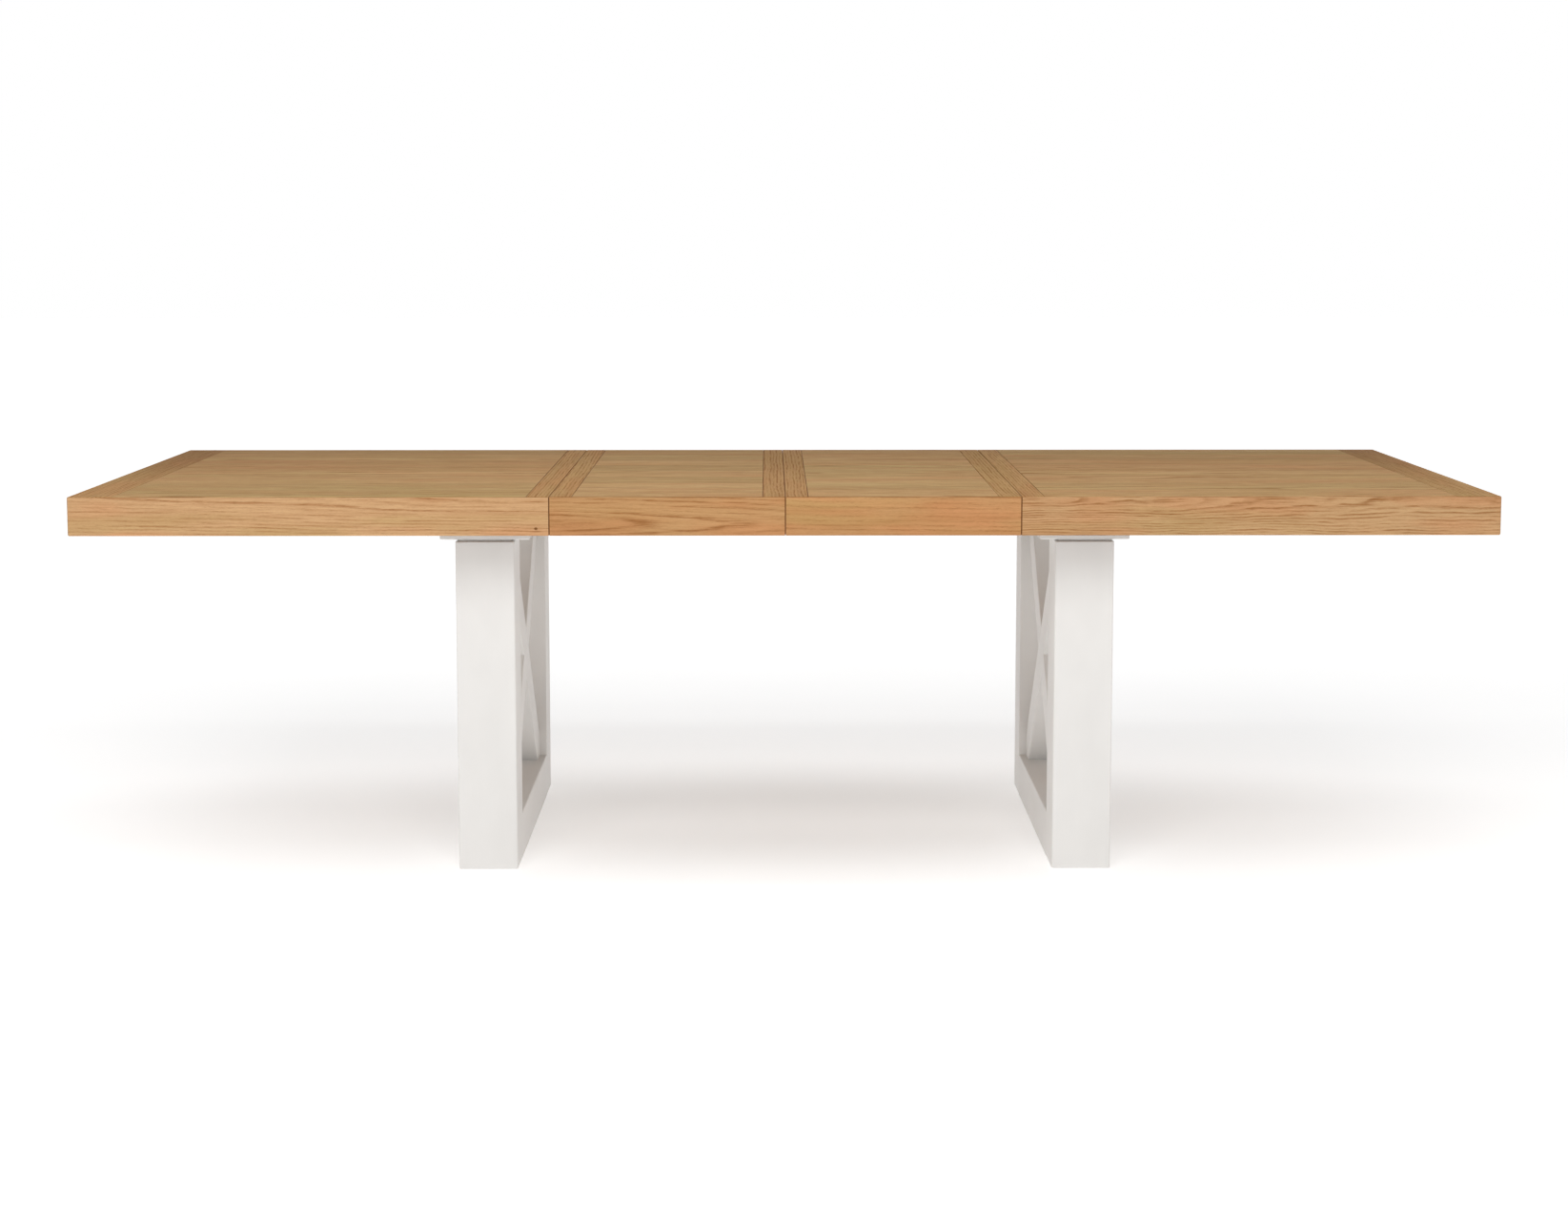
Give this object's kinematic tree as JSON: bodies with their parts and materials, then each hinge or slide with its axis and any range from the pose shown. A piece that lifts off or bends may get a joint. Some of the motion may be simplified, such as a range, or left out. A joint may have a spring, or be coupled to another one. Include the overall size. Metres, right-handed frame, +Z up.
{
  "type": "extendable dining table",
  "caption": "Rectangular oak extending dining table with drop-in middle leaves, deep mitred aprons and painted trestle legs with crossed braces; the half tops slide on wooden runners.",
  "frame": {"origin": "on the floor, under the middle of the table", "axes": "+X along the table's length to the right as seen from the front, +Y towards the back, +Z up"},
  "size_m": [2.73, 1, 0.76],
  "materials": {
    "oak_board": "oiled oak, grain along the table",
    "oak_cross_grain": "oiled oak, grain across the table",
    "oak_edge": "oiled oak, grain along the apron",
    "painted_wood": "satin off-white paint on hardwood",
    "beech": "plain planed hardwood",
    "steel": "zinc-plated steel",
    "glide_plastic": "moulded plastic"
  },
  "bodies": {
    "base": {"left_front_post": "painted_wood", "left_rear_post": "painted_wood", "left_bottom_rail": "painted_wood", "left_rising_brace": "painted_wood", "left_falling_brace": "painted_wood", "left_batten": "painted_wood", "right_front_post": "painted_wood", "right_rear_post": "painted_wood", "right_bottom_rail": "painted_wood", "right_rising_brace": "painted_wood", "right_falling_brace": "painted_wood", "right_batten": "painted_wood", "front_bearer": "beech", "rear_bearer": "beech", "cross_rail": "beech", "bearer_bolts": "steel", "post_bolts": "steel", "stop_pegs": "steel", "glides": "glide_plastic"},
    "left_top": {"left_top_panel": "oak_board", "left_end_strip": "oak_cross_grain", "left_seam_strip": "oak_cross_grain", "left_front_apron": "oak_edge", "left_rear_apron": "oak_edge", "left_end_apron": "oak_edge", "left_corner_blocks": "beech", "left_front_runner": "beech", "left_rear_runner": "beech", "left_runner_screws": "steel", "left_keeper_screws": "steel"},
    "left_leaf": {"left_leaf_panel": "oak_board", "left_leaf_outer_strip": "oak_cross_grain", "left_leaf_inner_strip": "oak_cross_grain", "left_leaf_front_apron": "oak_edge", "left_leaf_rear_apron": "oak_edge", "left_leaf_catch_screws": "steel"},
    "right_top": {"right_top_panel": "oak_board", "right_end_strip": "oak_cross_grain", "right_seam_strip": "oak_cross_grain", "right_front_apron": "oak_edge", "right_rear_apron": "oak_edge", "right_end_apron": "oak_edge", "right_corner_blocks": "beech", "right_front_runner": "beech", "right_rear_runner": "beech", "right_runner_screws": "steel", "right_keeper_screws": "steel"},
    "right_leaf": {"right_leaf_panel": "oak_board", "right_leaf_outer_strip": "oak_cross_grain", "right_leaf_inner_strip": "oak_cross_grain", "right_leaf_front_apron": "oak_edge", "right_leaf_rear_apron": "oak_edge", "right_leaf_catch_screws": "steel"},
    "left_front_catch": {"left_front_catch": "steel"},
    "left_rear_catch": {"left_rear_catch": "steel"},
    "middle_front_catch": {"middle_front_catch": "steel"},
    "middle_rear_catch": {"middle_rear_catch": "steel"},
    "right_front_catch": {"right_front_catch": "steel"},
    "right_rear_catch": {"right_rear_catch": "steel"}
  },
  "joints": [
    {"name": "left_top_slide", "type": "slide", "parent": "base", "child": "left_top", "axis": [-1, 0, 0], "range_m": [0, 0.05]},
    {"name": "right_top_slide", "type": "slide", "parent": "base", "child": "right_top", "axis": [1, 0, 0], "range_m": [0, 0.05]},
    {"name": "left_leaf_lift", "type": "slide", "parent": "base", "child": "left_leaf", "axis": [0, 0, 1], "range_m": [0, 0.3]},
    {"name": "right_leaf_lift", "type": "slide", "parent": "base", "child": "right_leaf", "axis": [0, 0, 1], "range_m": [0, 0.3]},
    {"name": "left_front_catch_turn", "type": "hinge", "parent": "left_leaf", "child": "left_front_catch", "pos_m": [-0.426, -0.4, 0.7323], "axis": [0, 0, 1], "range_deg": [0, 90]},
    {"name": "left_rear_catch_turn", "type": "hinge", "parent": "left_leaf", "child": "left_rear_catch", "pos_m": [-0.426, 0.4, 0.7323], "axis": [0, 0, -1], "range_deg": [0, 90]},
    {"name": "middle_front_catch_turn", "type": "hinge", "parent": "left_leaf", "child": "middle_front_catch", "pos_m": [-0.024, -0.4, 0.7323], "axis": [0, 0, -1], "range_deg": [0, 90]},
    {"name": "middle_rear_catch_turn", "type": "hinge", "parent": "left_leaf", "child": "middle_rear_catch", "pos_m": [-0.024, 0.4, 0.7323], "axis": [0, 0, 1], "range_deg": [0, 90]},
    {"name": "right_front_catch_turn", "type": "hinge", "parent": "right_leaf", "child": "right_front_catch", "pos_m": [0.426, -0.4, 0.7323], "axis": [0, 0, -1], "range_deg": [0, 90]},
    {"name": "right_rear_catch_turn", "type": "hinge", "parent": "right_leaf", "child": "right_rear_catch", "pos_m": [0.426, 0.4, 0.7323], "axis": [0, 0, 1], "range_deg": [0, 90]}
  ]
}
